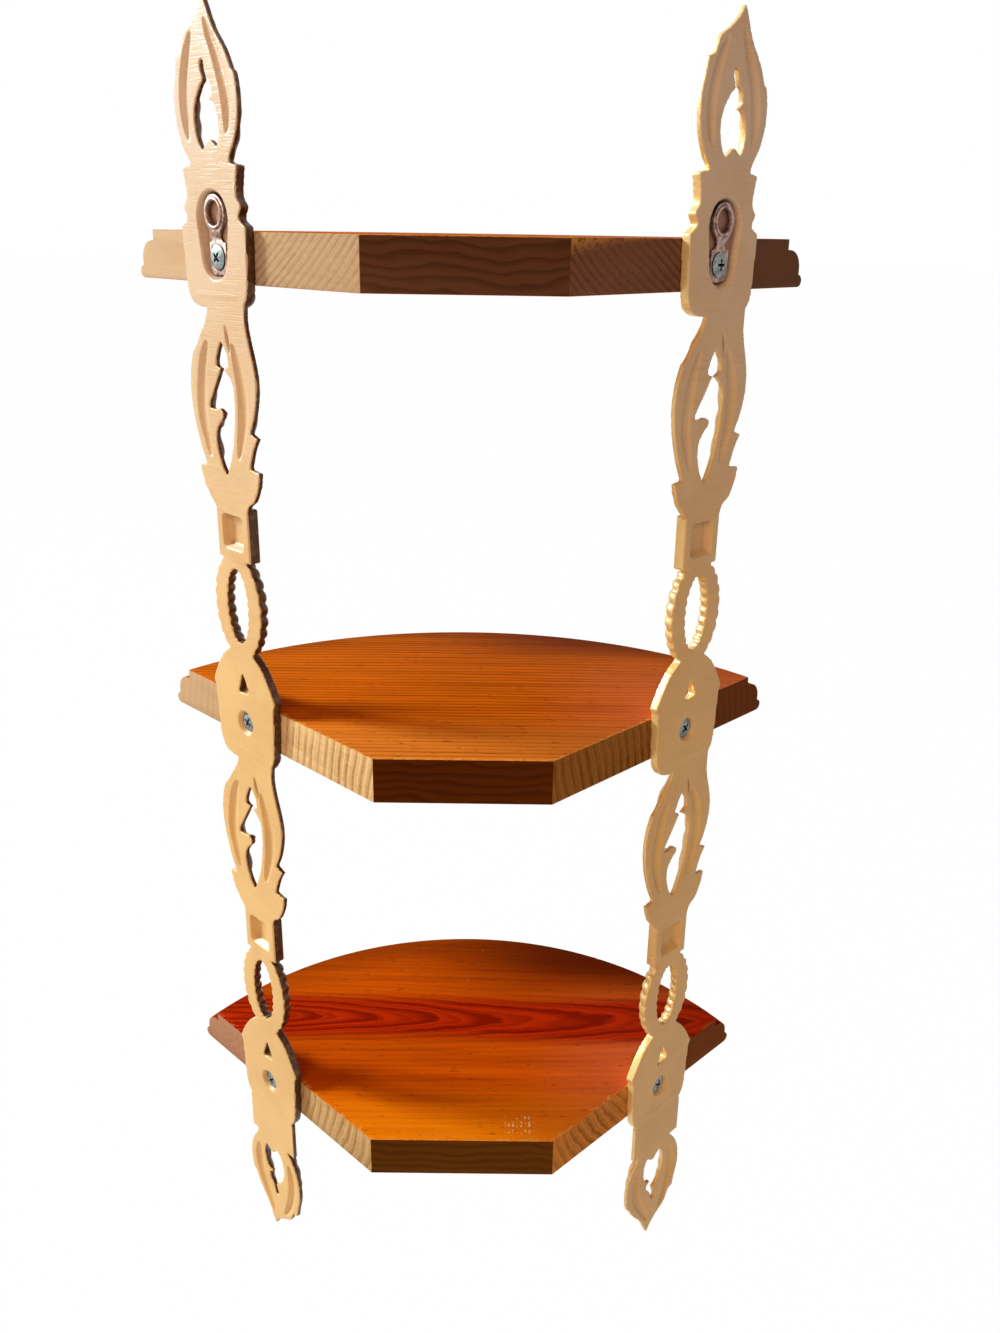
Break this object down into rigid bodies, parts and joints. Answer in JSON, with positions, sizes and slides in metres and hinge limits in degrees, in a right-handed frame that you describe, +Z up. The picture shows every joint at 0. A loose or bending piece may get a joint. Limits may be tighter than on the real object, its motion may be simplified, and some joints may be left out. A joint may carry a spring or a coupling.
{
  "type": "corner wall shelf",
  "caption": "Hanging corner shelf with moulded-edge wooden boards screwed between pierced, gilt ornamental stiles that lie flat on two walls.",
  "frame": {"origin": "midway between the two hook eyes that the shelf hangs by", "axes": "+Z up; -Y points out into the room and halves its corner; the two walls are the planes y = 0.09784 - |x|, which the stiles' backs lie on"},
  "size_m": [0.2792, 0.1794, 0.5675],
  "materials": {
    "stained_wood": "stained and varnished, semi-gloss",
    "gilt_plastic": "gold-painted moulding, satin front and bare tan back",
    "zinc_strap": "dull zinc plate",
    "zinc_screw": "dull zinc plate"
  },
  "bodies": {
    "root": {"shelf_top": "stained_wood", "shelf_middle": "stained_wood", "shelf_bottom": "stained_wood", "stile_left": "gilt_plastic", "stile_right": "gilt_plastic", "hanger_left": "zinc_strap", "hanger_right": "zinc_strap", "screw_top_left": "zinc_screw", "screw_top_right": "zinc_screw", "screw_middle_left": "zinc_screw", "screw_middle_right": "zinc_screw", "screw_bottom_left": "zinc_screw", "screw_bottom_right": "zinc_screw"}
  },
  "joints": []
}
